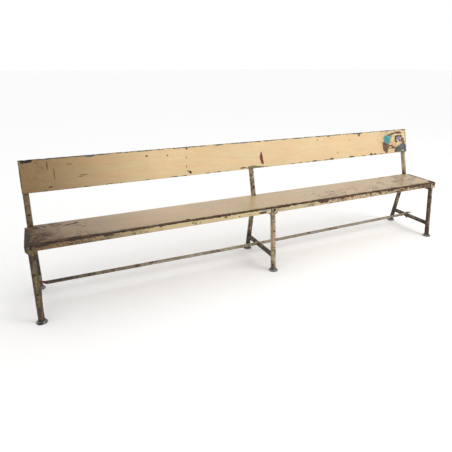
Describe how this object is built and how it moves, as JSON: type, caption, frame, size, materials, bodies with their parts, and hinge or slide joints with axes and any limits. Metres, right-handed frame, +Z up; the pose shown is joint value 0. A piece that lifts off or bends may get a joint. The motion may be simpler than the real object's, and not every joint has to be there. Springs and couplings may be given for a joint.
{
  "type": "painted bench with back",
  "caption": "Long worn painted bench with a wooden seat plank, a leaning back board and three pipe frames on round feet.",
  "frame": {"origin": "on the floor under the middle of the bench, halfway between the front and rear feet", "axes": "+X along the bench to the right as seen from the front, +Y from the front to the back, +Z up"},
  "size_m": [2.962, 0.458, 0.8232],
  "materials": {
    "seat_paint": "worn semi-gloss beige paint on wood",
    "board_paint": "cracked and chipped cream paint on wood",
    "frame_paint": "old brushed-on cream paint on steel pipe, chipped",
    "brace_paint": "dirty grey-brown paint on steel",
    "foot_steel": "worn bare metal",
    "fastener_steel": "rusty"
  },
  "bodies": {
    "root": {"back_board": "board_paint", "bearer_screw_front_left": "fastener_steel", "bearer_screw_front_middle": "fastener_steel", "bearer_screw_front_right": "fastener_steel", "bearer_screw_rear_left": "fastener_steel", "bearer_screw_rear_middle": "fastener_steel", "bearer_screw_rear_right": "fastener_steel", "board_screw_lower_left": "fastener_steel", "board_screw_lower_middle": "fastener_steel", "board_screw_lower_right": "fastener_steel", "board_screw_upper_left": "fastener_steel", "board_screw_upper_middle": "fastener_steel", "board_screw_upper_right": "fastener_steel", "brace_left": "brace_paint", "brace_middle": "brace_paint", "brace_right": "brace_paint", "front_foot_left": "foot_steel", "front_foot_middle": "foot_steel", "front_foot_right": "foot_steel", "front_leg_left": "frame_paint", "front_leg_middle": "frame_paint", "front_leg_right": "frame_paint", "leg_tab_left": "frame_paint", "leg_tab_middle": "frame_paint", "leg_tab_right": "frame_paint", "rear_foot_left": "foot_steel", "rear_foot_middle": "foot_steel", "rear_foot_right": "foot_steel", "rear_pipe_left": "frame_paint", "rear_pipe_middle": "frame_paint", "rear_pipe_right": "frame_paint", "seat_bearer_left": "brace_paint", "seat_bearer_middle": "brace_paint", "seat_bearer_right": "brace_paint", "seat_board": "seat_paint", "stretcher_bolt_left": "fastener_steel", "stretcher_bolt_right": "fastener_steel", "stretcher_left": "brace_paint", "stretcher_nut_left": "fastener_steel", "stretcher_nut_right": "fastener_steel", "stretcher_right": "brace_paint", "tab_bolt_left": "fastener_steel", "tab_bolt_middle": "fastener_steel", "tab_bolt_right": "fastener_steel"}
  },
  "joints": []
}
